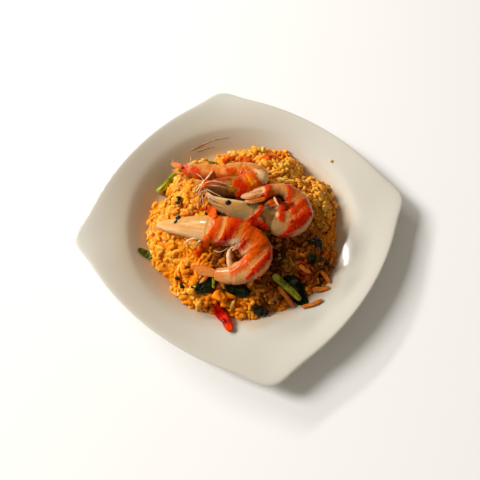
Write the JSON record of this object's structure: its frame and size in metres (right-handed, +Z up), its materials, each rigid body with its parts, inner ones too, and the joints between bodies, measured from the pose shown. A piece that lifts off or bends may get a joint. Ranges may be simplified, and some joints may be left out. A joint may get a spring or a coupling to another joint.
{
  "type": "fried rice on a plate",
  "caption": "Mound of fried rice topped with whole curled prawns, chilli, carrot shreds and greens, served in the round well of a white square plate with pointed corners",
  "frame": {"origin": "the middle of the plate's underside, on the plane that its foot stands on", "axes": "+Z is up. The plate's four pointed corners lie on the X and Y axes. The heads of the front and middle prawns point to -X, and the chilli strip lies towards -Y"},
  "size_m": [0.2618, 0.2618, 0.053],
  "materials": {
    "plate_glaze": "smooth off-white glaze, glossy",
    "rice": "moist seasoned rice, orange-yellow, browner where it is oily",
    "prawn": "cooked prawn shell and flesh, cream and orange-red, wet with sauce",
    "chilli": "cooked red chilli, glossy",
    "carrot": "cooked carrot, soft orange, moist",
    "tomato": "cooked tomato, red and wet",
    "stem": "cooked green stalk, yellow-green, glossy",
    "leaf": "wilted dark green leaf, wet"
  },
  "bodies": {
    "root": {"plate": "plate_glaze", "rice_heap": "rice", "prawn_front": "prawn", "prawn_middle": "prawn", "prawn_back": "prawn", "chilli_strip": "chilli", "carrot_chunk": "carrot", "carrot_bit": "carrot", "carrot_shred_left": "carrot", "carrot_shred_plate": "carrot", "carrot_shred_upper": "carrot", "carrot_shred_right": "carrot", "tomato_left": "tomato", "tomato_middle": "tomato", "tomato_right": "tomato", "green_stem": "stem", "green_stem_back": "stem", "leaf_rib": "stem", "stem_leaf": "leaf", "leaf_front_left": "leaf", "leaf_front_middle": "leaf", "leaf_front_edge": "leaf", "leaf_left_edge": "leaf", "leaf_right_upper": "leaf", "leaf_right_lower": "leaf", "leaf_right_edge": "leaf", "leaf_back_stem": "leaf", "green_bit_back": "leaf", "green_bit_left": "leaf", "green_bit_right": "leaf"}
  },
  "joints": []
}
